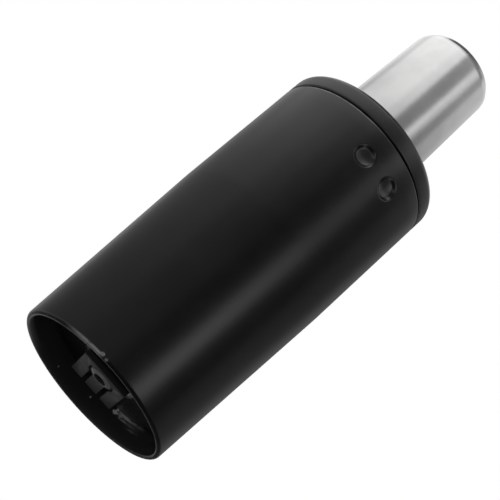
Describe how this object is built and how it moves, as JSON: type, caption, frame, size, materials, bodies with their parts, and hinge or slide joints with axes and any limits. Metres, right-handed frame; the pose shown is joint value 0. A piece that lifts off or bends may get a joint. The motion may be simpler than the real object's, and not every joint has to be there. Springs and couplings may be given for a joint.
{
  "type": "chair gas lift cylinder",
  "caption": "Short locking gas lift for a swivel chair: tapered column tube, guide collar, tapered spindle with release button, thrust bearing and rod clip in the open base.",
  "frame": {"origin": "centre of the open lower rim, which the lift stands on", "axes": "+Z along the lift's axis from the open lower rim to the push button; -Y is the side with the two crimp dimples that the picture shows"},
  "size_m": [0.05, 0.05, 0.1446],
  "materials": {
    "black_coat": "satin",
    "black_plastic": "fine moulded",
    "satin_steel": "ground and polished",
    "bright_steel": "turned",
    "spring_steel": "tempered",
    "zinc_steel": "zinc plated",
    "aluminium": "turned",
    "brass": "turned",
    "cage_plastic": "moulded",
    "button_plastic": "moulded",
    "black_rubber": "moulded"
  },
  "bodies": {
    "column": {"column_tube": "black_coat", "guide_bush": "black_plastic", "base_plate": "black_coat", "lower_race": "bright_steel"},
    "bearing_cage": {"ball_cage": "cage_plastic", "bearing_balls": "bright_steel"},
    "rod": {"piston_rod": "bright_steel", "retaining_clip": "spring_steel", "clip_washer": "zinc_steel", "upper_race": "bright_steel", "buffer_ring": "black_rubber", "buffer_washer": "bright_steel", "piston": "aluminium", "piston_ring": "cage_plastic", "piston_seal": "black_rubber", "piston_nut": "zinc_steel"},
    "spindle": {"spindle_tube": "satin_steel", "pressure_tube": "bright_steel", "centring_ring": "cage_plastic", "seal_washer": "zinc_steel", "rod_seal": "black_rubber", "rod_guide": "brass", "valve_body": "aluminium", "body_seals": "black_rubber", "pin_seals": "black_rubber", "top_sleeve": "black_plastic"},
    "button": {"push_button": "button_plastic", "valve_pin": "bright_steel"}
  },
  "joints": [
    {"name": "swivel", "type": "hinge", "parent": "column", "child": "rod", "pos_m": [0, 0, 0.007], "axis": [0, 0, 1], "continuous": true},
    {"name": "cage_turn", "type": "hinge", "parent": "column", "child": "bearing_cage", "pos_m": [0, 0, 0.0116], "axis": [0, 0, 1], "continuous": true},
    {"name": "lift", "type": "slide", "parent": "rod", "child": "spindle", "axis": [0, 0, 1], "range_m": [0, 0.05]},
    {"name": "release", "type": "slide", "parent": "spindle", "child": "button", "axis": [0, 0, 1], "range_m": [-0.003, 0], "stiffness_N_per_m": 3000, "springref_m": 0.002}
  ],
  "couplings": [
    {"joint": "cage_turn", "follows": "swivel", "ratio": 0.5}
  ]
}
